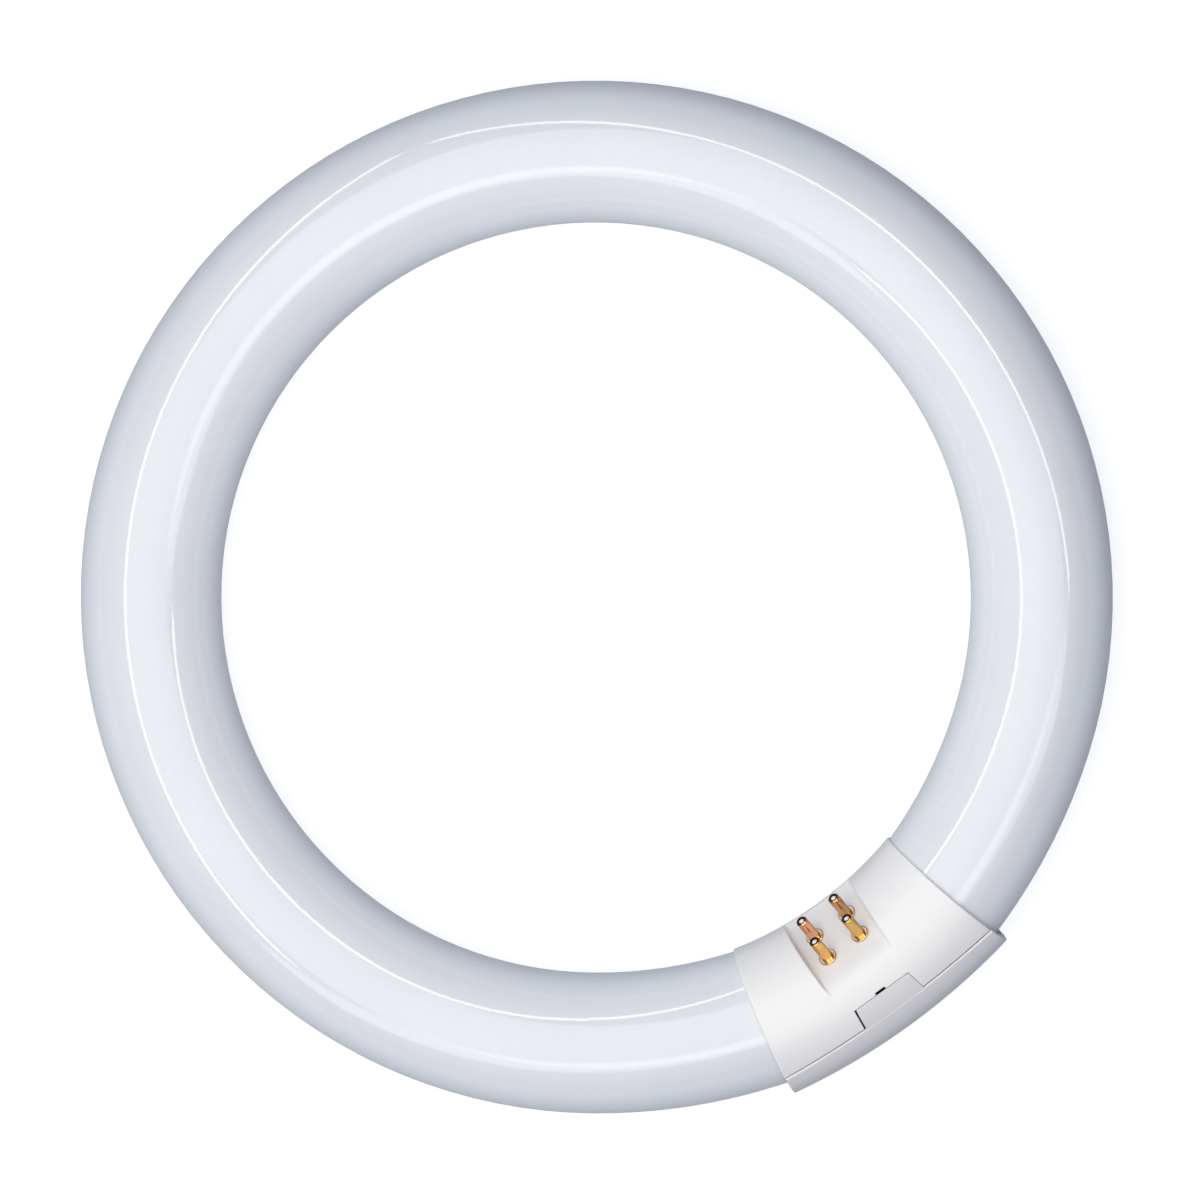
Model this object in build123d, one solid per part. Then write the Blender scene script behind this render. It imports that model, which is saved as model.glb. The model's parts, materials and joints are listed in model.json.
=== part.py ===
"""Ring-shaped fluorescent lamp with a two-piece moulded cap and four contact pins.

Millimetres, +Z up. The ring lies flat with its centre on the Z axis, and the cap
is at -Y with its pins facing the middle of the ring, 45 degrees upwards. Z = 0 is
the surface that the cap rests on.
"""

import os
from math import asin, atan2, cos, degrees, radians, sin, sqrt, tan

from build123d import *

# Glass ring
ring_outer_diameter = 209.6
tube_diameter = 28.6
glass_gap = 31.0  # between the two ends of the bent tube, across the cap
end_bend_easing = 15.5  # the ends are bent to a radius larger by this
end_bend_angle = 36.5  # where that softer bend starts, from the middle of the cap

# Sealed ends of the glass
shoulder_rise = 3.0
shoulder_round = 2.4
funnel_mouth_radius = 8.4
funnel_floor_radius = 4.6
funnel_depth = 7.0
funnel_round = 1.2
floor_round = 0.3
stub_radius = 2.3
stub_rise = 5.0
stub_round = 1.3

# Cap: outer form
cap_over_glass = 1.15  # the cap's round surface stands this much outside the glass
cap_outset = 1.6  # its centre line lies this much outside the ring's
cap_length = 47.2  # along the tangent at the section's centre
cap_end_lean = 13.0  # lean of each end face from the lamp's middle plane
cap_wall = 1.3
edge_round = 0.3
glass_fit = 0.1
mouth_gap = 0.6  # wider mouth round the glass at each end
mouth_depth = 2.2
bore_past_glass = 2.0

# Cap: joint line between the body and the outer cover
cover_depth = 5.8  # from the back of the round surface to the joint
seam_bow_radius = 255.0
seam_gap = 0.14
cover_back_radius = 142.0
cover_shift = 0.15  # the cover sits a little towards +X in its latches

# Cap: latches
latch_offset = 0.8
latch_inner_width = 12.8
latch_outer_width = 14.2
latch_reach = 4.35  # from the seam towards the middle of the ring
latch_gap = 0.12
latch_sink = 0.05  # tab below the body's surface
latch_side_gap = 0.26
lip_reach = 1.1
lip_thickness = 0.9
lip_width = 10.0
release_slot_width = 2.4
release_slot_depth = 0.5

# Cap: flat face with the pins
pin_face_depth = 3.55  # below the round surface
pin_face_width = 16.0
pin_face_slope = 45.0
pin_face_draft = 3.0
pin_face_round = 0.6
run_out_radius = 6.0  # the face bends over in this towards the cap's crown
run_out_rise = 0.1  # how far that bend would stand out of the round surface

# Contact pins
pin_spacing_across = 7.92
pin_spacing_up = 6.35
pin_diameter = 2.36
pin_length = 6.8
pin_wall = 0.4
pin_tip_round = 0.5
pin_mouth_radius = 0.62  # the tip is turned in to this
pin_lip = 0.35  # straight inner wall of the turned-in tip
flange_diameter = 3.7
flange_thickness = 0.5
rivet_diameter = 3.4
rivet_thickness = 0.4
pin_root_diameter = 2.6  # in the cap's hole
pin_hole_clearance = 0.05
throat_start = 1.0  # narrow throat of the bore, closed on the wire
throat_length = 1.2

# Lead wires
wire_diameter = 0.6
wire_spacing = 6.2  # between the two wires of one glass end
wire_grip = 0.02
wire_free_run = 7.5  # straight past the glass end
wire_pin_run = 2.2  # straight before the pin
wire_bend_radius = 1.6
wire_below_tip = 1.0

ring_radius = (ring_outer_diameter - tube_diameter) / 2
tube_radius = tube_diameter / 2
end_bend_radius = ring_radius + end_bend_easing
bore_radius = tube_radius + glass_fit
mouth_radius = tube_radius + mouth_gap
cap_radius = tube_radius + cap_over_glass
cap_centre_radius = ring_radius + cap_outset
chamber_radius = cap_radius - cap_wall
cap_bottom = cap_radius
seam_radius = cap_centre_radius + cap_radius - cover_depth
pin_face_offset = cap_radius - pin_face_depth  # from the section's centre
reach = 4 * cap_radius  # long enough for any cutting block


def end_bend_axis(side):
    """Upright axis that the softer bend of one glass end turns about."""
    back = end_bend_radius - ring_radius
    centre_x = -side * back * sin(radians(end_bend_angle))
    centre_y = back * cos(radians(end_bend_angle))
    return Axis((centre_x, centre_y, 0), (0, 0, 1))


def glass_end_angle():
    """Angle about the softer bend's axis at which the tube ends."""
    offset = (end_bend_radius - ring_radius) * sin(radians(end_bend_angle))
    return degrees(asin((glass_gap / 2 + offset) / end_bend_radius))


def bend_plane(side, angle):
    """Plane across the tube at an angle of the softer bend, facing its end."""
    angle = radians(angle)
    centre = end_bend_axis(side).position
    run = Vector(side * sin(angle), -cos(angle), 0)
    out = Vector(-side * cos(angle), -sin(angle), 0)
    return Plane(origin=centre + run * end_bend_radius, x_dir=(0, 0, 1), z_dir=out)


def glass_end_plane(side):
    """Plane across one end of the tube, with its normal out of the glass."""
    return bend_plane(side, glass_end_angle())


def section_plane(azimuth, axis_y=0.0):
    """Upright plane at an angle from the middle of the cap, X away from its axis."""
    across = Vector(sin(radians(azimuth)), -cos(radians(azimuth)), 0)
    return Plane((0, axis_y, 0), x_dir=across, z_dir=across.cross(Vector(0, 0, 1)))


def end_bend(section, side, end_angle):
    """Turn a tube section from the start of the softer bend to its end."""
    profile = section_plane(side * end_bend_angle) * Pos(ring_radius, 0) * section
    turn = -side * (end_bend_angle - end_angle)
    return revolve(profile, axis=spin_axis(end_bend_axis(side), turn), revolution_arc=abs(turn))


def spin_axis(axis, turn):
    """The same axis, reversed for a clockwise turn."""
    if turn < 0:
        return Axis(axis.position, axis.direction * -1)
    return axis


def cap_arc(section, centre_radius, axis_y, half_angle):
    """Turn a section about an upright axis on the middle plane, centred on the cap."""
    profile = section_plane(-half_angle, axis_y) * Pos(centre_radius, 0) * section
    return revolve(profile, axis=Axis((0, axis_y, 0), (0, 0, 1)), revolution_arc=2 * half_angle)


def glass_tube():
    """The bent, sealed tube: closed and white all over, so it is one filled solid."""
    start = section_plane(end_bend_angle) * Pos(ring_radius, 0) * Circle(tube_radius)
    tube = revolve(start, axis=Axis.Z, revolution_arc=360 - 2 * end_bend_angle)
    for side in (-1, 1):
        tube += end_bend(Circle(tube_radius), side, glass_end_angle())
        tube = sealed(tube, glass_end_plane(side).location)
    return tube


def sealed(tube, end):
    """The tube with one end closed by its shoulder, the stem's funnel and its stub."""
    tube += end * upright(tube_radius, 0, shoulder_rise, shoulder_round)
    funnel = end * funnel_space()
    hollowed = tube - funnel
    hollowed = fillet(new_edges(tube, funnel, combined=hollowed), funnel_round)
    stub = end * upright(stub_radius, -funnel_depth - stub_rise, stub_rise, stub_round)
    closed = hollowed + stub
    return fillet(new_edges(hollowed, stub, combined=closed), floor_round)


def upright(radius, low, high, top_round):
    """Round column between two levels, with its top edge rounded."""
    column = extrude(Plane.XY.offset(low) * Circle(radius), amount=high - low)
    return fillet(column.edges().sort_by(Axis.Z)[-1], top_round)


def funnel_space():
    """Space inside the stem's funnel, up past the shoulder of the glass."""
    flare = (funnel_mouth_radius - funnel_floor_radius) / (funnel_depth + shoulder_rise)
    mouth = funnel_mouth_radius + flare * stub_rise
    side = FilletPolyline(
        (0, -funnel_depth),
        (funnel_floor_radius, -funnel_depth),
        (mouth, shoulder_rise + stub_rise),
        (0, shoulder_rise + stub_rise),
        radius=[floor_round, floor_round],
    )
    outline = make_face(side + Line(side @ 1, side @ 0))
    return revolve(Plane.XZ * outline, axis=Axis.Z)


def cap_space():
    """Everything inside the cap: two bores for the glass and the chamber between."""
    space = cap_arc(Circle(chamber_radius), cap_centre_radius, 0, cap_end_lean)
    for side in (-1, 1):
        bore_end = glass_end_angle() - degrees(bore_past_glass / end_bend_radius)
        bore = end_bend(Circle(bore_radius), side, bore_end)
        space = split(space, bisect_by=bend_plane(side, bore_end), keep=Keep.TOP)
        space += bore
    return space


def end_block(side, inset=0.0):
    """Block beyond one end face of the cap, or beyond a face inset from it."""
    lean = radians(cap_end_lean)
    out = Vector(side * cos(lean), sin(lean), 0)
    middle = Vector(side * cap_length / 2, -cap_centre_radius, 0) - out * inset
    face = Plane(origin=middle, x_dir=(0, 0, 1), z_dir=out)
    return face * Pos(0, 0, reach / 2) * Box(reach, 2 * reach, reach)


def cap_form(path_radius):
    """Round outer form of the cap on an arc, cut off at both ends."""
    axis_y = path_radius - cap_centre_radius
    form = cap_arc(Circle(cap_radius), path_radius, axis_y, 2 * cap_end_lean)
    for side in (-1, 1):
        form -= end_block(side)
    return form


def rounded(half):
    """Round the rims and joint edges of one half of the cap's form."""
    curved = half.edges().filter_by(GeomType.LINE, reverse=True)
    return fillet(curved, edge_round)


def mouths():
    """Wider mouths that stand clear of the glass just inside the cap's two ends."""
    ring = cap_arc(Circle(mouth_radius), cap_centre_radius, 0, 2 * cap_end_lean)
    return [ring & end_block(side, mouth_depth) for side in (-1, 1)]


def seam_cylinder(gap=0.0):
    """Tall round column whose side is the slightly bowed joint face."""
    radius = seam_bow_radius + gap
    return Pos(0, seam_bow_radius - seam_radius, 0) * Cylinder(radius, reach)


def latch_outline(grow_side=0.0, grow_end=0.0, past_seam=1.0):
    """Plan of one latch tab, wider at the seam, as a tall block above the middle."""
    inner = latch_inner_width / 2 + grow_side
    outer = latch_outer_width / 2 + grow_side
    near = -(seam_radius - latch_reach - grow_end)
    far = -(seam_radius + past_seam)
    half = Polyline((0, near), (inner, near), (outer, -seam_radius), (outer, far), (0, far), close=True)
    plan = make_face(half)
    plan += mirror(plan, about=Plane.YZ)
    return Pos(latch_offset, 0, 0) * extrude(plan, amount=reach / 2)


def wall_band(inner_radius, outer_radius):
    """Curved band between two radii, concentric with the cap's section."""
    band = Circle(outer_radius) - Circle(inner_radius)
    return cap_arc(band, cap_centre_radius, 0, cap_end_lean)


def latch():
    """One tab of the cover with its catching lip, which a release slot divides."""
    tab = wall_band(chamber_radius, cap_radius - latch_sink) & latch_outline()
    root = latch_reach - 2 * lip_reach
    lip_far = -(seam_radius - root)
    lip_near = -(seam_radius - latch_reach - lip_reach)
    lip = Pos(latch_offset, (lip_far + lip_near) / 2, reach / 4) * Box(
        lip_width, lip_near - lip_far, reach / 2
    )
    lip -= Pos(latch_offset, lip_near, reach / 4) * Box(
        2 * release_slot_width, 2 * lip_reach, reach / 2
    )
    under = chamber_radius - latch_gap
    hook = wall_band(under - lip_thickness, under) & lip
    step = wall_band(under - lip_thickness, chamber_radius + latch_gap) & lip & latch_outline()
    return tab + hook + step


def latch_notch():
    """Notch of the body that a tab lies in, with the slot that releases it."""
    notch = latch_outline(latch_side_gap, latch_gap, reach)
    slot_y = -(seam_radius - latch_reach - latch_gap)
    slot = Pos(latch_offset, slot_y, reach / 4) * Box(
        release_slot_width, 2 * release_slot_depth, reach / 2
    )
    return notch + slot


def pin_face_plane(depth=0.0):
    """Plane of the flat face, with Z out of the cap and X along the tube."""
    slope = radians(pin_face_slope)
    out = Vector(0, sin(slope), cos(slope))
    middle = Vector(0, -cap_centre_radius, 0)
    return Plane(middle + out * (pin_face_offset - depth), x_dir=(1, 0, 0), z_dir=out)


def run_out(grow=0.0):
    """Arc in which the flat face bends over, in the face's own Y and Z."""
    above = pin_face_offset - run_out_radius
    along = sqrt((cap_radius - run_out_radius + run_out_rise) ** 2 - above**2)
    radius = run_out_radius - grow
    return CenterArc((-along, -radius), radius, 90, degrees(atan2(along, above)))


def pin_recess(grow=0.0):
    """Space above the flat face, with drafted sides and rounded lower edges."""
    half_length = 1.5 * cap_radius
    bend = run_out(grow)
    end = bend @ 1
    floor = Line((half_length, 0), bend @ 0)
    rest = Polyline(
        end, (-half_length, end.Y), (-half_length, cap_radius), (half_length, cap_radius), (half_length, 0)
    )
    section = Plane.YZ * make_face(floor + bend + rest)
    narrowing = 2 * end.Y * tan(radians(pin_face_draft))
    foot = Rectangle(pin_face_width + 2 * grow + narrowing, 2 * half_length)
    block = Pos(0, 0, end.Y) * extrude(foot, amount=cap_radius - end.Y, taper=-pin_face_draft)
    recess = block & extrude(section, amount=reach, both=True)
    low = recess.edges().filter_by(lambda e: e.center().Z < pin_face_round and e.center().Y > end.X)
    return pin_face_plane(grow) * fillet(low.filter_by(Axis.X, reverse=True), pin_face_round)


def pin_places():
    """Centre of each pin on the flat face, numbered left to right, upper row first."""
    return [
        (x * pin_spacing_across / 2, y * pin_spacing_up / 2)
        for y in (-1, 1)
        for x in (-1, 1)
    ]


def cap_body(space):
    """Inner moulding: the flat face, the latch notches and the joint face."""
    form = rounded(cap_form(cap_centre_radius) & seam_cylinder())
    recess = pin_recess()
    body = form - recess
    body = fillet(new_edges(form, recess, combined=body), edge_round)
    body -= space - pin_recess(cap_wall)
    for mouth in mouths():
        body -= mouth
    notch = latch_notch()
    body -= notch
    body -= mirror(notch, about=Plane.XY)
    hole = Cylinder(pin_root_diameter / 2 + pin_hole_clearance, 4 * cap_wall)
    for x, y in pin_places():
        body -= pin_face_plane() * Pos(x, y, 0) * hole
    return body


def cap_cover(space):
    """Outer moulding: curved back, two latch tabs and the wider ends."""
    cover = rounded(cap_form(cover_back_radius - cap_radius) - seam_cylinder(seam_gap))
    tab = latch()
    cover += tab
    cover += mirror(tab, about=Plane.XY)
    cover -= space
    for mouth in mouths():
        cover -= mouth
    return Pos(cover_shift, 0, 0) * cover


def contact_pin():
    """Hollow pin, Z out of the cap: rivet, root, flange, shank and rounded tip."""
    shank = pin_diameter / 2
    root = pin_root_diameter / 2
    bore = shank - pin_wall
    grip = wire_diameter / 2 + wire_grip
    throat_low = flange_thickness + throat_start
    throat_high = throat_low + throat_length
    throat_ramp = throat_length / 4
    inner_end = -cap_wall - rivet_thickness
    outline = Polyline(
        (bore, inner_end),
        (rivet_diameter / 2, inner_end),
        (rivet_diameter / 2, -cap_wall),
        (root, -cap_wall),
        (root, 0),
        (flange_diameter / 2, 0),
        (flange_diameter / 2, flange_thickness),
        (shank, flange_thickness),
        (shank, pin_length),
        (pin_mouth_radius, pin_length),
        (pin_mouth_radius, pin_length - pin_lip),
        (bore, pin_length - 2 * pin_lip),
        (bore, throat_high),
        (grip, throat_high - throat_ramp),
        (grip, throat_low + throat_ramp),
        (bore, throat_low),
        close=True,
    )
    pin = revolve(Plane.XZ * make_face(outline), axis=Axis.Z)
    circles = pin.edges().filter_by(GeomType.CIRCLE)
    tip = [e for e in circles if e.center().Z > pin_length - pin_wall and e.radius > bore * 1.1]
    flange = [e for e in circles if e.radius > shank * 1.1 and e.center().Z > flange_thickness / 2]
    pin = fillet(tip, pin_tip_round)
    return fillet(pin.edges().filter_by(lambda e: same_circle(e, flange)), flange_thickness / 3)


def same_circle(edge, others):
    """Whether an edge is one of the given circles of an earlier stage of the pin."""
    if edge.geom_type != GeomType.CIRCLE:
        return False
    return any(
        abs(edge.radius - other.radius) < 1e-6 and (edge.center() - other.center()).length < 1e-6
        for other in others
    )


def lead_wire(place):
    """Wire from the stem of the nearer glass end, through its pin to below the tip."""
    x, y = place
    side = 1 if x > 0 else -1
    above = 1 if y < 0 else -1
    end = glass_end_plane(side)
    offset = Vector(0, 0, above * wire_spacing / 2)
    stem = end.origin + end.z_dir * -funnel_depth + offset
    free = end.origin + end.z_dir * wire_free_run + offset
    face = pin_face_plane()
    foot = face.origin + face.x_dir * x + face.y_dir * y
    below = foot - face.z_dir * (cap_wall + rivet_thickness + wire_pin_run)
    top = foot + face.z_dir * (pin_length - wire_below_tip)
    route = FilletPolyline(stem, free, below, top, radius=wire_bend_radius)
    section = Plane(origin=stem, z_dir=end.z_dir) * Circle(wire_diameter / 2)
    return sweep(section, path=route)


def write(node, solid):
    """Write one piece, raised so that the cap rests on Z = 0."""
    part = Pos(0, 0, cap_bottom) * solid
    export_step(part, f"parts/{node}.step")


def main():
    """Model every piece and write it to its own file."""
    os.makedirs("parts", exist_ok=True)
    space = cap_space()
    write("glass_tube", glass_tube())
    write("cap_body", cap_body(space))
    write("cap_cover", cap_cover(space))
    pin = contact_pin()
    for number, place in enumerate(pin_places(), start=1):
        write(f"contact_pin_{number}", pin_face_plane() * Pos(*place, 0) * pin)
        write(f"lead_wire_{number}", lead_wire(place))


if __name__ == "__main__":
    main()
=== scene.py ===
"""Looks of the ring lamp: coated glass, moulded cap, brass pins, studio and camera."""

import json
from math import atan, cos, radians, sin

import bpy
import bmesh
from mathutils import Matrix, Vector


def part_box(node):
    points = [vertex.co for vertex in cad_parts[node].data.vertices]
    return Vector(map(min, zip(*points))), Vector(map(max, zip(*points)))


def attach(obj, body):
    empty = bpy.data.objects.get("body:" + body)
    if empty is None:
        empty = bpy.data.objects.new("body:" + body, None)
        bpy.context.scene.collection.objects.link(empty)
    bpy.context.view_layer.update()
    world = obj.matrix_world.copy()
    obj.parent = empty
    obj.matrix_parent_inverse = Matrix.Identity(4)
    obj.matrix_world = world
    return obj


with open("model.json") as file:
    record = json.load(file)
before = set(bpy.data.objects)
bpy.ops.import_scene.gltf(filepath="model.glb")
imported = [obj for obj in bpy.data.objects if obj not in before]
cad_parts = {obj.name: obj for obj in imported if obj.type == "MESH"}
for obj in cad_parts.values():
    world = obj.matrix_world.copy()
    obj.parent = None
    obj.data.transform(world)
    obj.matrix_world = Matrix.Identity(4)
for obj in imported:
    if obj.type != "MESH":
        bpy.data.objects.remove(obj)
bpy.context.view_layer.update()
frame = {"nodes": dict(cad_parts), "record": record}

bl_info = {
    "name": "Ring Lamp",
    "version": (1, 0, 0),
    "blender": (4, 5, 0),
    "location": "3D View > Sidebar > Ring Lamp",
    "description": "Finishes a ring-shaped fluorescent lamp and sets its studio",
    "category": "Object",
}

BODY = "root"
GLASS_LOW, GLASS_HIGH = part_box("glass_tube")
RING_CENTRE = Vector((0, 0, (GLASS_LOW.z + GLASS_HIGH.z) / 2))
WIRE_NODES = [f"lead_wire_{number}" for number in range(1, 5)]

# Part of a noise texture's range that holds most of its values
NOISE_LOW, NOISE_HIGH = 0.3, 0.7


# Node helpers

class Graph:
    """Short ways to add nodes to one node tree."""

    def __init__(self, tree):
        self.tree = tree
        tree.nodes.clear()

    def add(self, kind, inputs=None, **options):
        """A node with its options, its input values and its links."""
        made = self.tree.nodes.new(kind)
        for name, value in options.items():
            setattr(made, name, value)
        for name, value in (inputs or {}).items():
            self.feed(made.inputs[name], value)
        return made

    def feed(self, socket, value):
        """Link an output to a socket, or set the socket's value."""
        if isinstance(value, bpy.types.NodeSocket):
            self.tree.links.new(value, socket)
        else:
            socket.default_value = value

    def place(self):
        """The shaded point in the object's own coordinates."""
        return self.add("ShaderNodeTexCoord").outputs["Object"]

    def math(self, operation, first, second=0.0):
        """Result of one Math node."""
        return self.add("ShaderNodeMath", {0: first, 1: second}, operation=operation).outputs[0]

    def vector_math(self, operation, first, second=(0, 0, 0)):
        """Vector result of one Vector Math node."""
        return self.add("ShaderNodeVectorMath", {0: first, 1: second}, operation=operation).outputs[0]

    def dot(self, vector, direction):
        """Dot product of a vector output with a fixed direction."""
        node = self.add("ShaderNodeVectorMath", {0: vector, 1: direction}, operation="DOT_PRODUCT")
        return node.outputs["Value"]

    def length(self, vector):
        """Length of a vector output."""
        return self.add("ShaderNodeVectorMath", {0: vector}, operation="LENGTH").outputs["Value"]

    def step(self, value, low, high, at_low=0.0, at_high=1.0):
        """Smooth change from one level to another as a value passes two limits."""
        inputs = {"Value": value, "From Min": low, "From Max": high, "To Min": at_low, "To Max": at_high}
        return self.add("ShaderNodeMapRange", inputs, interpolation_type="SMOOTHSTEP").outputs[0]

    def noise(self, place, scale, detail=2.0):
        """Noise value at a place, 0 to 1."""
        inputs = {"Vector": place, "Scale": scale, "Detail": detail}
        return self.add("ShaderNodeTexNoise", inputs).outputs[0]

    def spread(self, noise, at_low=0.0, at_high=1.0):
        """The middle of a noise value's range, stretched between two levels."""
        return self.step(noise, NOISE_LOW, NOISE_HIGH, at_low, at_high)

    def mix(self, factor, first, second):
        """Colour between two colours."""
        inputs = {0: factor, 6: first, 7: second}
        return self.add("ShaderNodeMix", inputs, data_type="RGBA").outputs[2]

    def choose(self, factor, first, second):
        """Shader that is the first where the factor is 0 and the second where it is 1."""
        return self.add("ShaderNodeMixShader", {0: factor, 1: first, 2: second}).outputs[0]

    def background(self, colour):
        """Background shader of one colour."""
        return self.add("ShaderNodeBackground", {"Color": colour, "Strength": 1.0}).outputs[0]


def opaque(colour, share=1.0):
    """A colour without transparency, darkened to a share of itself."""
    return tuple(value * share for value in colour) + (1.0,)


def grey(level):
    """A neutral colour of one level."""
    return (level, level, level, 1.0)


def shares(whole, parts):
    """Several parts of one value."""
    return [whole * part for part in parts]


def new_material(name):
    """A node material and the graph that fills it."""
    material = bpy.data.materials.new(name)
    material.use_nodes = True
    return material, Graph(material.node_tree)


def finish_material(graph, shader_inputs):
    """Close a material with its surface shader."""
    shader = graph.add("ShaderNodeBsdfPrincipled", shader_inputs)
    graph.add("ShaderNodeOutputMaterial", {"Surface": shader.outputs[0]})


def rim_gloss(graph, level, start, end):
    """Gloss level that fades where a surface turns away from view."""
    facing = graph.add("ShaderNodeLayerWeight", {"Blend": 0.5}).outputs["Facing"]
    return graph.step(facing, start, end, level, 0.0)


# Object helpers

def dress(node, material):
    """Give one CAD node its material."""
    item = frame["nodes"][node]
    item.data.materials.clear()
    item.data.materials.append(material)


def new_object(name, data):
    """A scene object that shows a mesh, a camera or a light."""
    made = bpy.data.objects.new(name, data)
    bpy.context.scene.collection.objects.link(made)
    return made


def new_mesh(name, shape, material):
    """A mesh of one finished bmesh shape, in one material."""
    mesh = bpy.data.meshes.new(name)
    shape.to_mesh(mesh)
    shape.free()
    mesh.materials.append(material)
    return mesh


# Sizes and colours that a user would change

class GlassSettings(bpy.types.PropertyGroup):
    """Finish of the coated glass ring."""

    tint: bpy.props.FloatVectorProperty(
        name="Coating colour", description="White of the powder coating, seen through the glass",
        default=(0.782, 0.797, 0.800), size=3, subtype="COLOR", min=0, max=1)
    unevenness: bpy.props.FloatProperty(
        name="Unevenness", description="How far the bent glass departs from a true round",
        default=0.0006, unit="LENGTH")
    gloss_roughness: bpy.props.FloatProperty(
        name="Roughness", description="Roughness of the glass surface", default=0.05, min=0, max=1)


class CapSettings(bpy.types.PropertyGroup):
    """Finish of the two mouldings of the cap."""

    body_colour: bpy.props.FloatVectorProperty(
        name="Body colour", description="Colour of the inner moulding",
        default=(0.86, 0.847, 0.816), size=3, subtype="COLOR", min=0, max=1)
    # Darker than the body's colour: painted shade for the grey band of the outer moulding.
    cover_shaded_colour: bpy.props.FloatVectorProperty(
        name="Cover colour", description="Colour of the outer moulding",
        default=(0.775, 0.759, 0.735), size=3, subtype="COLOR", min=0, max=1)
    roughness: bpy.props.FloatProperty(
        name="Roughness", description="Roughness of the moulded surface", default=0.42, min=0, max=1)


class PinSettings(bpy.types.PropertyGroup):
    """Finish of the pins, wires and solder."""

    # Brown of the random tarnish patches and of the painted shade on the tips, the flanges' rims, the
    # pins' sides and the lips.
    tarnish_and_shade: bpy.props.FloatVectorProperty(
        name="Tarnish", description="Brown film on the tips, the flanges' rims and the pins' sides",
        default=(0.07, 0.024, 0.009), size=3, subtype="COLOR", min=0, max=1)
    # Length of the painted dark reflection down from the tip; it also sets how far the patches wobble the
    # painted edges on the flange and the tip.
    tip_shade_spread: bpy.props.FloatProperty(
        name="Tarnish length", description="How far the brown film runs down from the tip",
        default=0.0009, unit="LENGTH")
    pin_length: bpy.props.FloatProperty(
        name="Pin length", description="From the cap's flat face to the tip",
        default=0.0068, unit="LENGTH")
    solder_radius: bpy.props.FloatProperty(
        name="Solder radius", description="Radius of the bead of solder in the tip",
        default=0.00068, unit="LENGTH")
    solder_sink: bpy.props.FloatProperty(
        name="Solder depth", description="How far the bead's top lies below the tip, or above if negative",
        default=-0.00004, unit="LENGTH")
    solder_shift: bpy.props.FloatProperty(
        name="Solder shift", description="How far the bead lies to the upper side of the tip",
        default=0.00014, unit="LENGTH")
    # Near-matte white: partly the real solder bead, partly a painted highlight for the glint in each tip.
    solder_and_glint_colour: bpy.props.FloatVectorProperty(
        name="Solder colour", description="Dull white of the tin solder",
        default=(0.93, 0.92, 0.90), size=3, subtype="COLOR", min=0, max=1)
    # Painted highlight: the flange's top is made paler to stand in for its bright reflection.
    flange_highlight_colour: bpy.props.FloatVectorProperty(
        name="Flange colour", description="Paler brass on the flange's top",
        default=(0.88, 0.64, 0.40), size=3, subtype="COLOR", min=0, max=1)


class StageSettings(bpy.types.PropertyGroup):
    """Floor, lights and camera."""

    camera_distance: bpy.props.FloatProperty(
        name="Camera distance", description="From the middle of the ring", default=1.0, unit="LENGTH")
    camera_tilt: bpy.props.FloatProperty(
        name="Camera tilt", description="Lean of the view from straight down, towards +X",
        default=radians(4.0), subtype="ANGLE")
    camera_turn: bpy.props.FloatProperty(
        name="Camera turn", description="Turn of the picture's right edge from +X",
        default=radians(-36.2), subtype="ANGLE")
    picture_width: bpy.props.FloatProperty(
        name="Picture width", description="Width seen in the plane of the ring",
        default=0.2435, unit="LENGTH")
    aim_right: bpy.props.FloatProperty(
        name="Aim to the right", description="Picture's middle, right of the ring's middle",
        default=0.00118, unit="LENGTH")
    aim_down: bpy.props.FloatProperty(
        name="Aim down", description="Picture's middle, below the ring's middle",
        default=0.00022, unit="LENGTH")
    floor_size: bpy.props.FloatProperty(
        name="Floor size", description="Side of the square floor", default=6.0, unit="LENGTH")
    lamp_height: bpy.props.FloatProperty(
        name="Lamp height", description="Height of the round soft lamp over the ring's middle",
        default=0.45, unit="LENGTH")
    lamp_shift: bpy.props.FloatProperty(
        name="Lamp shift", description="How far the lamp hangs towards the side light",
        default=0.03, unit="LENGTH")
    lamp_size: bpy.props.FloatProperty(
        name="Lamp size", description="Diameter of the round soft lamp", default=0.5, unit="LENGTH")
    lamp_power: bpy.props.FloatProperty(
        name="Lamp power", description="Power of the round soft lamp in watts", default=1.35, min=0)
    lamp_colour: bpy.props.FloatVectorProperty(
        name="Lamp colour", description="Colour of the round soft lamp",
        default=(1.0, 0.993, 0.972), size=3, subtype="COLOR", min=0, max=1)
    ambient: bpy.props.FloatVectorProperty(
        name="Ambient light", description="Even light from all sides, a little blue",
        default=(0.272, 0.29, 0.36), size=3, subtype="COLOR", min=0, max=1)
    floor_colour: bpy.props.FloatVectorProperty(
        name="Floor colour", description="Colour of the light that the floor throws back",
        default=(0.48, 0.505, 0.582), size=3, subtype="COLOR", min=0, max=1)
    side_light: bpy.props.FloatProperty(
        name="Side light", description="Strength of the soft light from one side", default=0.68, min=0)
    side_lean: bpy.props.FloatProperty(
        name="Side light's lean", description="Lean of the side light from straight up",
        default=radians(38.0), subtype="ANGLE")
    side_azimuth: bpy.props.FloatProperty(
        name="Side light's azimuth", description="Where the side light comes from, from +X",
        default=radians(159.4), subtype="ANGLE")


# Glass. Noise scales are in cells per metre. A gloss is its level seen face on, then
# where it starts to fade and where it is gone, from 0 face on to 1 edge on.
GLASS_CLOUD_SCALE = 40.0
GLASS_SPECKLE_SCALE = 1600.0
GLASS_SWELL_SCALE = 9.0
GLASS_FILM_SCALE = 400.0
THIN_POWDER = 0.965
GLASS_IOR = 1.5
GLASS_ROUGHNESS_RANGE = (0.8, 1.2)
GLASS_GLOSS = (0.5, 0.15, 0.5)


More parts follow.
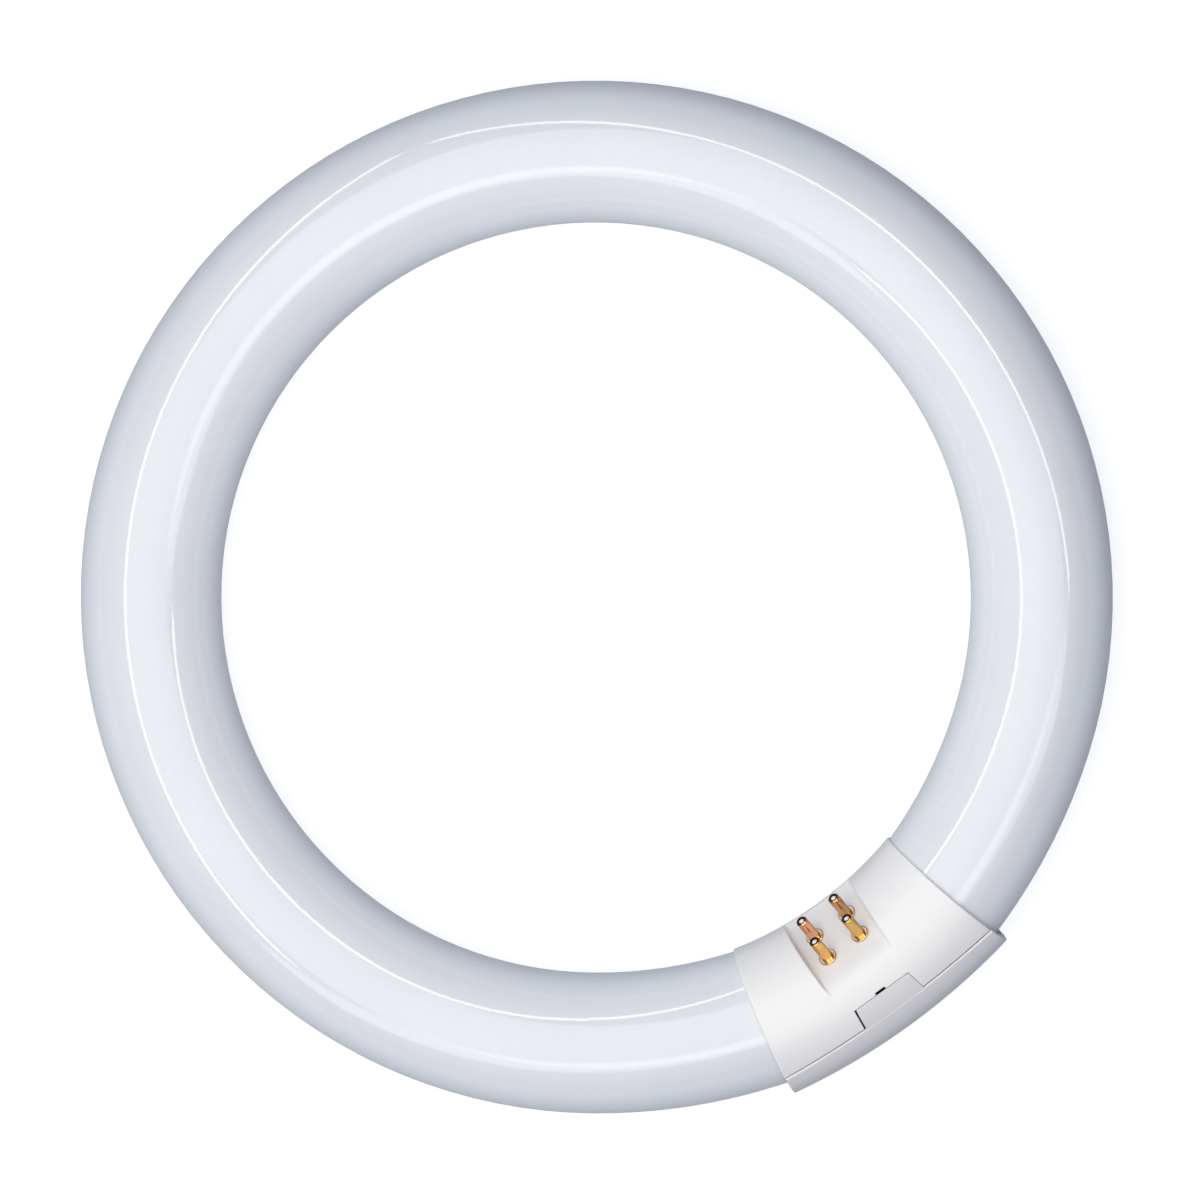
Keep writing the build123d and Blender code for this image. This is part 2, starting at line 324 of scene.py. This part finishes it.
def coated_glass(settings):
    """Clear glossy glass over a white powder coating."""
    material, graph = new_material("coated_glass")
    place = graph.place()
    cloud = graph.spread(graph.noise(place, GLASS_CLOUD_SCALE, detail=3.0))
    speckle = graph.spread(graph.noise(place, GLASS_SPECKLE_SCALE, detail=3.0))
    powder = graph.math("MULTIPLY", graph.math("ADD", cloud, speckle), 0.5)
    tint = graph.mix(powder, opaque(settings.tint, THIN_POWDER), opaque(settings.tint))
    swell = graph.noise(place, GLASS_SWELL_SCALE, detail=1.0)
    bump = graph.add(
        "ShaderNodeBump", {"Height": swell, "Distance": settings.unevenness, "Strength": 1.0})
    film = graph.noise(place, GLASS_FILM_SCALE)
    roughness = graph.spread(film, *shares(settings.gloss_roughness, GLASS_ROUGHNESS_RANGE))
    finish_material(graph, {
        "Base Color": tint, "Roughness": roughness, "IOR": GLASS_IOR, "Normal": bump.outputs[0],
        "Specular IOR Level": rim_gloss(graph, *GLASS_GLOSS)})
    return material


# Cap. Scales and gloss are as for the glass, and the grain's depth is in metres.
FLOW_SCALE = 60.0
FLOW_LIMITS = (0.2, 0.8)
DULL_PLASTIC = 0.975
GRAIN_SCALE = 5200.0
GRAIN_DEPTH = 0.00002
GRAIN_STRENGTH = 0.25
PLASTIC_IOR = 1.46
PLASTIC_ROUGHNESS_RANGE = (0.9, 1.1)
PLASTIC_GLOSS = (0.5, 0.3, 0.65)


def moulded_plastic(name, colour, roughness):
    """Satin white plastic with a faint moulded grain."""
    material, graph = new_material(name)
    place = graph.place()
    flow = graph.noise(place, FLOW_SCALE, detail=3.0)
    tint = graph.mix(flow, opaque(colour, DULL_PLASTIC), opaque(colour))
    grain = graph.noise(place, GRAIN_SCALE)
    bump = graph.add(
        "ShaderNodeBump", {"Height": grain, "Distance": GRAIN_DEPTH, "Strength": GRAIN_STRENGTH})
    sheen = graph.step(flow, *FLOW_LIMITS, *shares(roughness, PLASTIC_ROUGHNESS_RANGE))
    finish_material(graph, {
        "Base Color": tint, "Roughness": sheen, "IOR": PLASTIC_IOR, "Normal": bump.outputs[0],
        "Specular IOR Level": rim_gloss(graph, *PLASTIC_GLOSS)})
    return material


# Pins. Their directions, and their radius and the flange's thickness in metres.
PIN_DIRECTION = Vector((0, 1, 1)).normalized()
PIN_LOW_SIDE = Vector((0, 1, -1)).normalized()
PIN_SIDEWAYS = Vector((1, 0, 0))
PIN_RADIUS = 0.00118
PIN_FLANGE = 0.0005

# Brass of each pin: golden, olive, copper and brown.
PIN_COLOURS = {
    "contact_pin_1": (0.95, 0.52, 0.18),
    "contact_pin_2": (0.74, 0.46, 0.15),
    "contact_pin_3": (0.95, 0.49, 0.27),
    "contact_pin_4": (0.66, 0.36, 0.16),
}
BRASS_ROUGHNESS = (0.16, 0.28)
PATCH_SCALE = 900.0

# Where the painted brown shade on the rim, the shank's sides and the lip, and the painted black shade in
# the mouth, start and end, in shares of the pin's radius
RIM_SHADE_EDGE = (1.36, 1.5)
SHANK_EDGE = (1.12, 1.04)
SIDE_SHADE_EDGE = (0.65, 1.0)
LIP_SHADE_EDGE = (1.0, 0.7)
LIP_SHADE_DEPTH = 0.4
MOUTH_SHADE_EDGE = (0.57, 0.51)

# Where the painted highlight on the flange's top ends, in shares of its thickness, and where the tip's
# painted dark reflection starts and ends below the tip, in shares of its length, and how much further it
# reaches down the low side
FLANGE_HIGHLIGHT_EDGE = (1.6, 1.1)
TIP_SHADE_FADE = (0.8, 0.2)
TIP_SHADE_LEAN = 0.45

# How strong the brown is on each part, from 0 to 1: painted shade on the upper rim, the sides and the lip,
# random tarnish in the patches, and the black level of the painted shade in the mouth
UPPER_RIM_SHADE = 0.3
SIDE_SHADE = 0.6
LIP_SHADE = 0.7
PATCH_FILM = 0.2
PATCH_EDGE = (0.45, 0.8)
MOUTH_SHADE = 0.006

# Solder and nickel: how metallic each is, and its lowest and highest roughness. The solder is kept nearly
# non-metallic, so its white shows in the tip as a painted highlight.
SOLDER_METALLIC = 0.1
SOLDER_ROUGHNESS = (0.45, 0.6)
NICKEL = (0.72, 0.705, 0.685)
NICKEL_METALLIC = 1.0
NICKEL_ROUGHNESS = (0.25, 0.4)
METAL_SCALE = 1500.0
DULL_METAL = 0.9
BEAD_FLATNESS = 0.7
BEAD_SEGMENTS, BEAD_RINGS = 32, 16


def pin_foot(node):
    """Where a pin's axis meets the flat face, from the record's mount of that pin."""
    mounts = {mount["name"]: mount for mount in frame["record"]["mounts"]}
    mount = mounts[node.replace("contact_", "")]
    half_length = mount["dims"]["length_mm"] / 1000 / 2
    return Vector(mount["pos_m"]) - PIN_DIRECTION * (half_length + PIN_FLANGE)


def radial_step(graph, value, edge, at_low=0.0, at_high=1.0):
    """Smooth change between two distances that are shares of the pin's radius."""
    return graph.step(value, *shares(PIN_RADIUS, edge), at_low, at_high)


def pin_tarnish_and_shade(graph, from_foot, along, radius, patches, settings):
    """Share of brown, 0 to 1: painted dark reflection on the tip's low side, painted shade on the flange's
    rim, the shank's sides and the lip, and random tarnish patches.
    """
    tip_level = settings.pin_length
    # Painted dark reflection on the tip, reaching further down on its low side.
    low_side = graph.dot(from_foot, PIN_LOW_SIDE)
    leaning = graph.math("ADD", along, graph.math("MULTIPLY", low_side, TIP_SHADE_LEAN))
    start, end = [tip_level - settings.tip_shade_spread * share for share in TIP_SHADE_FADE]
    tip = graph.step(leaning, start, end)

    # Painted shade on the flange's rim, darker on its low side.
    below = radial_step(graph, low_side, (-1, 1), UPPER_RIM_SHADE, 1.0)
    rim = graph.math("MULTIPLY", radial_step(graph, radius, RIM_SHADE_EDGE), below)

    # Painted shade along the shank's two sides, where it turns away from view.
    sideways = graph.math("ABSOLUTE", graph.dot(from_foot, PIN_SIDEWAYS))
    shank = radial_step(graph, radius, SHANK_EDGE)
    sides = graph.math("MULTIPLY", radial_step(graph, sideways, SIDE_SHADE_EDGE, 0.0, SIDE_SHADE), shank)

    # Painted shade over the lip, in place of its bright rim.
    near_tip = graph.step(along, tip_level - PIN_RADIUS * LIP_SHADE_DEPTH, tip_level)
    lip = graph.math("MULTIPLY", radial_step(graph, radius, LIP_SHADE_EDGE), near_tip)
    lip = graph.math("MULTIPLY", lip, LIP_SHADE)

    # Random tarnish patches: the real tarnish here; the tip, rim, sides and lip are painted shade.
    film = graph.step(patches, *PATCH_EDGE, 0.0, PATCH_FILM)
    for part in (tip, rim, sides, lip):
        film = graph.math("MAXIMUM", film, part)
    return film


def pin_brass(node, colour, settings):
    """Drawn brass with random tarnish patches, and painted light: a paler highlight on the flange, brown
    shade on the tip, rims, sides and lip, and black shade inside the tip.
    """
    material, graph = new_material("brass_" + node)
    place = graph.place()
    from_foot = graph.vector_math("SUBTRACT", place, pin_foot(node))
    radius = graph.length(graph.vector_math("CROSS_PRODUCT", from_foot, PIN_DIRECTION))
    patches = graph.noise(place, PATCH_SCALE, detail=3.0)
    wobble = graph.math("MULTIPLY", graph.math("SUBTRACT", patches, 0.5), settings.tip_shade_spread)
    along = graph.math("ADD", graph.dot(from_foot, PIN_DIRECTION), wobble)
    # Painted highlight: paler brass on the flange's top.
    flange = graph.step(along, *shares(PIN_FLANGE, FLANGE_HIGHLIGHT_EDGE))
    tone = graph.mix(flange, opaque(colour), opaque(settings.flange_highlight_colour))
    film = pin_tarnish_and_shade(graph, from_foot, along, radius, patches, settings)
    # The brown mixed in here is partly random tarnish and mostly painted shade.
    tone = graph.mix(film, tone, opaque(settings.tarnish_and_shade))
    # Painted shade: black inside the tip's mouth, where the bore lies in shadow.
    tone = graph.mix(radial_step(graph, radius, MOUTH_SHADE_EDGE), tone, grey(MOUTH_SHADE))
    roughness = graph.spread(patches, *BRASS_ROUGHNESS)
    finish_material(graph, {"Base Color": tone, "Metallic": 1.0, "Roughness": roughness})
    return material


def uneven_metal(name, colour, metallic, roughness_range):
    """Nickel wire or dull solder, slightly uneven."""
    material, graph = new_material(name)
    patches = graph.noise(graph.place(), METAL_SCALE, detail=3.0)
    tone = graph.mix(patches, opaque(colour, DULL_METAL), opaque(colour))
    roughness = graph.spread(patches, *roughness_range)
    finish_material(graph, {"Base Color": tone, "Metallic": metallic, "Roughness": roughness})
    return material


def solder_bead(node, number, settings, material):
    """Flattened bead of solder in one pin's tip, just above the end of its wire."""
    radius = settings.solder_radius
    top = pin_foot(node) + PIN_DIRECTION * (settings.pin_length - settings.solder_sink)
    centre = top - PIN_DIRECTION * radius * BEAD_FLATNESS - PIN_LOW_SIDE * settings.solder_shift
    shape = bmesh.new()
    bmesh.ops.create_uvsphere(
        shape, u_segments=BEAD_SEGMENTS, v_segments=BEAD_RINGS, radius=radius)
    stretch = Matrix.Diagonal((1, 1, BEAD_FLATNESS, 1))
    turn = Vector((0, 0, 1)).rotation_difference(PIN_DIRECTION).to_matrix().to_4x4()
    shape.transform(Matrix.Translation(centre) @ turn @ stretch)
    for face in shape.faces:
        face.smooth = True
    bead = new_object(f"solder_{number}", new_mesh(f"solder_{number}", shape, material))
    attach(bead, BODY)


# Camera

def picture_axes(settings):
    """Right and up of the picture and the direction back to the camera."""
    back = Vector((sin(settings.camera_tilt), 0, cos(settings.camera_tilt)))
    right = Vector((cos(settings.camera_turn), sin(settings.camera_turn), 0))
    right = (right - back * right.dot(back)).normalized()
    return right, back.cross(right), back


def place_camera(settings):
    """Camera above the ring, leaning a little from straight down."""
    right, up, back = picture_axes(settings)
    target = RING_CENTRE + right * settings.aim_right - up * settings.aim_down
    data = bpy.data.cameras.new("camera")
    data.sensor_fit = "HORIZONTAL"
    data.angle = 2 * atan(settings.picture_width / 2 / settings.camera_distance)
    camera = new_object("camera", data)
    turn = Matrix((right, up, back)).transposed().to_4x4()
    camera.matrix_world = Matrix.Translation(target + back * settings.camera_distance) @ turn
    bpy.context.scene.camera = camera


# Light. The strips are what the glass reflects. The azimuth of a strip's middle is in
# degrees. Its distance is the tangent of its lean from straight up. Its half width and
# how far it runs clockwise (run_out) and the other way (run_back) are tangents too.
STRIPS = [
    {"azimuth": 150.4, "distance": 0.70, "half_width": 0.055,
     "run_out": 1.82, "run_back": 0.65, "strength": 6.5},
    {"azimuth": 8.4, "distance": 0.675, "half_width": 0.055,
     "run_out": 0.72, "run_back": 1.75, "strength": 6.5},
    {"azimuth": 260.4, "distance": 0.60, "half_width": 0.2,
     "run_out": 1.41, "run_back": 0.77, "strength": 2.4},
]
STRIP_EDGE = (0.55, 1.3)        # start and end of a strip's soft edge, in half widths
STRIP_END = 0.05                # length of its soft ends, a tangent

# Heights of the ceiling's and the backdrop's edges are cosines of the angle from straight up.
LEAST_HEIGHT = 0.05
CEILING_EDGE = (0.80, 0.84)
CEILING_LEVELS = (0.25, 2.0)    # glow beside the bright ceiling and in it
CEILING_BLUE = 0.92
BACKDROP_EDGE = (0.12, 0.2)
SIDE_LIGHT_FOCUS = 3.0


def side_direction(settings):
    """Direction that the soft side light comes from."""
    lean, azimuth = settings.side_lean, settings.side_azimuth
    return Vector((sin(lean) * cos(azimuth), sin(lean) * sin(azimuth), cos(lean)))


def strip_light(graph, direction, height, azimuth, distance, half_width, run_out, run_back, strength):
    """Radiance of one straight strip light, soft at its edges."""
    angle = radians(azimuth)
    across = graph.math("DIVIDE", graph.dot(direction, (cos(angle), sin(angle), 0)), height)
    along = graph.math("DIVIDE", graph.dot(direction, (-sin(angle), cos(angle), 0)), height)
    off = graph.math("ABSOLUTE", graph.math("SUBTRACT", across, distance))
    body = graph.step(off, *shares(half_width, STRIP_EDGE), strength, 0.0)
    start = graph.step(along, -run_out, -run_out + STRIP_END)
    end = graph.step(along, run_back - STRIP_END, run_back, 1.0, 0.0)
    return graph.math("MULTIPLY", body, graph.math("MULTIPLY", start, end))


def reflected_studio(graph, direction):
    """Colour that shiny surfaces show: ceiling with strip lights, white backdrop below."""
    height = graph.add("ShaderNodeSeparateXYZ", {0: direction}).outputs[2]
    divisor = graph.math("MAXIMUM", height, LEAST_HEIGHT)
    glow = graph.step(height, *CEILING_EDGE, *CEILING_LEVELS)
    for strip in STRIPS:
        glow = graph.math("ADD", glow, strip_light(graph, direction, divisor, **strip))
    blue = graph.math("MULTIPLY", glow, CEILING_BLUE)
    ceiling = graph.add("ShaderNodeCombineColor", {0: glow, 1: glow, 2: blue}).outputs[0]
    return graph.mix(graph.step(height, *BACKDROP_EDGE), grey(1.0), ceiling)


def studio_world(settings):
    """Soft light from above; shiny surfaces show strip lights, ceiling and backdrop."""
    world = bpy.data.worlds.new("studio")
    world.use_nodes = True
    bpy.context.scene.world = world
    graph = Graph(world.node_tree)
    direction = graph.add("ShaderNodeTexCoord").outputs["Generated"]
    facing = graph.math("MAXIMUM", graph.dot(direction, side_direction(settings)), 0.0)
    lobe = graph.math("POWER", facing, SIDE_LIGHT_FOCUS)
    soft = graph.math("MULTIPLY", lobe, settings.side_light)
    plain = graph.background(graph.vector_math("ADD", soft, settings.ambient))
    shown = graph.background(reflected_studio(graph, direction))
    path = graph.add("ShaderNodeLightPath")
    shiny = graph.math("MAXIMUM", path.outputs["Is Glossy Ray"], path.outputs["Is Transmission Ray"])
    lit = graph.choose(shiny, plain, shown)
    seen = graph.choose(path.outputs["Is Camera Ray"], lit, graph.background(grey(1.0)))
    graph.add("ShaderNodeOutputWorld", {"Surface": seen})


def soft_lamp(settings):
    """Round soft lamp over the middle of the ring, not seen in reflections."""
    data = bpy.data.lights.new("soft_lamp", "AREA")
    data.shape = "DISK"
    data.size = settings.lamp_size
    data.energy = settings.lamp_power
    data.color = settings.lamp_colour
    lamp = new_object("soft_lamp", data)
    shift = Matrix.Rotation(settings.side_azimuth, 3, "Z") @ Vector((settings.lamp_shift, 0, 0))
    lamp.location = RING_CENTRE + shift + Vector((0, 0, settings.lamp_height))
    lamp.visible_glossy = False


# Floor. Number of its cells along a side, scale of its noise, darkest share of its
# colour, and how far it is lifted to white where it is seen.
FLOOR_CELLS = 8
FLOOR_SCALE = 3.0
DULL_FLOOR = 0.97
FLOOR_LIFT = 0.72
FLOOR_LIFT_COLOUR = (1.0, 0.985, 0.93, 1.0)


def pale_floor(settings):
    """Wide plain floor that shows white and keeps the object's shadow."""
    material, graph = new_material("pale_floor")
    colour = settings.floor_colour
    tone = graph.mix(
        graph.noise(graph.place(), FLOOR_SCALE), opaque(colour, DULL_FLOOR), opaque(colour))
    path = graph.add("ShaderNodeLightPath")
    seen = graph.math("MAXIMUM", path.outputs["Is Camera Ray"], path.outputs["Is Glossy Ray"])
    seen = graph.math("MAXIMUM", seen, path.outputs["Is Transmission Ray"])
    lift = graph.math("MULTIPLY", seen, FLOOR_LIFT)
    matte = graph.add("ShaderNodeBsdfDiffuse", {"Color": tone})
    glow = graph.add("ShaderNodeEmission", {"Color": FLOOR_LIFT_COLOUR, "Strength": lift})
    both = graph.add("ShaderNodeAddShader", {0: matte.outputs[0], 1: glow.outputs[0]})
    graph.add("ShaderNodeOutputMaterial", {"Surface": both.outputs[0]})
    shape = bmesh.new()
    bmesh.ops.create_grid(
        shape, x_segments=FLOOR_CELLS, y_segments=FLOOR_CELLS, size=settings.floor_size / 2)
    floor = new_object("floor", new_mesh("floor", shape, material))


# Operators

class FinishGlass(bpy.types.Operator):
    """Finish the glass ring"""

    bl_idname = "ring_lamp.finish_glass"
    bl_label = "Finish Glass"

    def execute(self, context):
        dress("glass_tube", coated_glass(context.scene.ring_lamp_glass))
        return {"FINISHED"}


class FinishCap(bpy.types.Operator):
    """Finish the two mouldings of the cap"""

    bl_idname = "ring_lamp.finish_cap"
    bl_label = "Finish Cap"

    def execute(self, context):
        settings = context.scene.ring_lamp_cap
        dress("cap_body", moulded_plastic("cap_plastic", settings.body_colour, settings.roughness))
        dress("cap_cover", moulded_plastic("cover_plastic", settings.cover_shaded_colour, settings.roughness))
        return {"FINISHED"}


class FinishPins(bpy.types.Operator):
    """Finish the contact pins and their wires"""

    bl_idname = "ring_lamp.finish_pins"
    bl_label = "Finish Pins"

    def execute(self, context):
        settings = context.scene.ring_lamp_pins
        solder = uneven_metal("solder", settings.solder_and_glint_colour, SOLDER_METALLIC, SOLDER_ROUGHNESS)
        for number, (node, colour) in enumerate(PIN_COLOURS.items(), start=1):
            dress(node, pin_brass(node, colour, settings))
            solder_bead(node, number, settings, solder)
        nickel = uneven_metal("wire_metal", NICKEL, NICKEL_METALLIC, NICKEL_ROUGHNESS)
        for node in WIRE_NODES:
            dress(node, nickel)
        return {"FINISHED"}


class SetStage(bpy.types.Operator):
    """Set the floor, the light and the camera"""

    bl_idname = "ring_lamp.set_stage"
    bl_label = "Set Stage"

    def execute(self, context):
        settings = context.scene.ring_lamp_stage
        context.scene.view_settings.view_transform = "Standard"
        place_camera(settings)
        studio_world(settings)
        soft_lamp(settings)
        pale_floor(settings)
        return {"FINISHED"}


class RingLampPanel(bpy.types.Panel):
    """Buttons for each group of pieces"""

    bl_idname = "VIEW3D_PT_ring_lamp"
    bl_label = "Ring Lamp"
    bl_space_type = "VIEW_3D"
    bl_region_type = "UI"
    bl_category = "Ring Lamp"

    def draw(self, context):
        for operator in OPERATORS:
            self.layout.operator(operator.bl_idname)


SETTINGS = {
    "ring_lamp_glass": GlassSettings,
    "ring_lamp_cap": CapSettings,
    "ring_lamp_pins": PinSettings,
    "ring_lamp_stage": StageSettings,
}
OPERATORS = [FinishGlass, FinishCap, FinishPins, SetStage]
CLASSES = list(SETTINGS.values()) + OPERATORS + [RingLampPanel]


def register():
    """Register the classes and hang the settings on the scene."""
    for kind in CLASSES:
        bpy.utils.register_class(kind)
    for name, kind in SETTINGS.items():
        setattr(bpy.types.Scene, name, bpy.props.PointerProperty(type=kind))


def unregister():
    """Take everything off again."""
    for name in SETTINGS:
        delattr(bpy.types.Scene, name)
    for kind in reversed(CLASSES):
        bpy.utils.unregister_class(kind)


def main():
    """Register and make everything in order."""
    register()
    bpy.ops.ring_lamp.set_stage()
    bpy.ops.ring_lamp.finish_glass()
    bpy.ops.ring_lamp.finish_cap()
    bpy.ops.ring_lamp.finish_pins()


if __name__ == "__main__":
    main()
